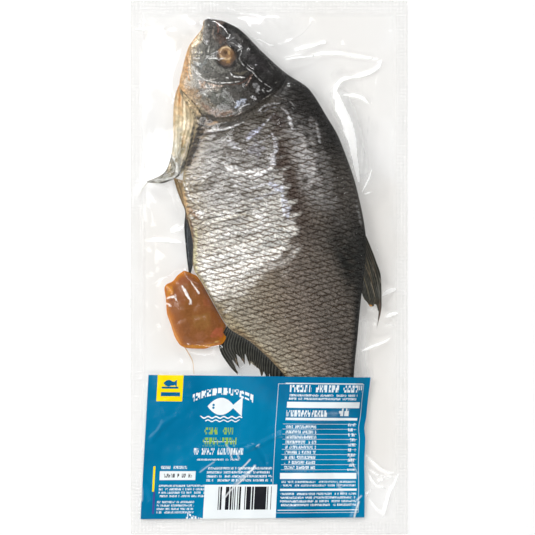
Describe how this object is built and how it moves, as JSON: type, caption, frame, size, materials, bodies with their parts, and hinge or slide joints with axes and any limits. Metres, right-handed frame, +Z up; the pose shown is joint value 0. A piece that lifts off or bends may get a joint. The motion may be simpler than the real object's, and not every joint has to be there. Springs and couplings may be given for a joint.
{
  "type": "vacuum-packed dried bream",
  "caption": "Whole dried bream with a piece of its roe in a flat clear vacuum bag, with a printed label laid over the tail. Lies flat, shown side up.",
  "frame": {"origin": "middle of the pack's footprint, on the surface that it lies on", "axes": "+Z up, away from the surface, on the shown side; +Y along the pack, from the label to the fish's head; +X across it, to the side of the fish's back"},
  "size_m": [0.26, 0.5, 0.0337],
  "materials": {
    "film": "clear, glossy, lightly wrinkled, with an embossed welded border",
    "dried_fish": "dried, scaly skin, dark on the back and silver grey on the flank, with a dull sheen",
    "roe": "moist amber brown, glossy",
    "label": "coated, glossy, printed and slightly creased"
  },
  "bodies": {
    "root": {"film_bag": "film", "fish": "dried_fish", "roe": "roe", "label": "label"}
  },
  "joints": []
}
